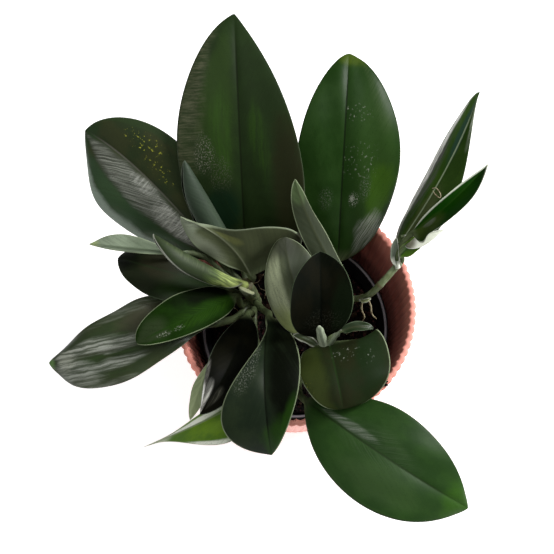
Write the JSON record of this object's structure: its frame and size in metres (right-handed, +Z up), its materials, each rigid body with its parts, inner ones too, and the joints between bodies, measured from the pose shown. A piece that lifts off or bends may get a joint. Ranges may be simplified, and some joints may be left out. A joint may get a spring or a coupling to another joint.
{
  "type": "potted plant",
  "caption": "Vining foliage plant with broad dark pointed leaves, in a thin black nursery pot standing inside a finely fluted coral outer pot.",
  "frame": {"origin": "middle of the outer pot's underside, on the surface that it stands on", "axes": "+Z up; +Y towards the back, where the two tallest leaves lean; +X to the right, towards the trailing stem"},
  "size_m": [0.254, 0.272, 0.2125],
  "materials": {
    "coral_plastic": "satin moulded plastic, coral pink",
    "black_plastic": "thin semi-matt black plastic",
    "potting_soil": "dark moist potting soil with bark and root pieces",
    "stem_green": "pale olive green, smooth",
    "root_pale": "pale cream, matt",
    "leaf_dark": "very dark green satin upper side, grey-green underside, thin pale margin",
    "leaf_mid": "mid green satin upper side, grey-green underside, thin pale margin",
    "leaf_bright": "bright young green, glossy, whitish at the base",
    "leaf_young": "pale grey-green, matt"
  },
  "bodies": {
    "root": {"outer_pot": "coral_plastic", "nursery_pot": "black_plastic", "soil": "potting_soil", "stem_a": "stem_green", "stem_b": "stem_green", "stem_c": "stem_green", "aerial_root_01": "root_pale", "aerial_root_02": "root_pale", "leaf_01": "leaf_dark", "leaf_02": "leaf_mid", "leaf_03": "leaf_dark", "leaf_04": "leaf_young", "leaf_05": "leaf_dark", "leaf_06": "leaf_young", "leaf_07": "leaf_mid", "leaf_08": "leaf_dark", "leaf_09": "leaf_dark", "leaf_10": "leaf_young", "leaf_11": "leaf_dark", "leaf_12": "leaf_dark", "leaf_13": "leaf_young", "leaf_14": "leaf_dark", "leaf_15": "leaf_mid", "leaf_16": "leaf_dark", "leaf_17": "leaf_dark", "leaf_18": "leaf_bright", "leaf_19": "leaf_mid", "leaf_20": "leaf_bright", "leaf_21": "leaf_young"}
  },
  "joints": []
}
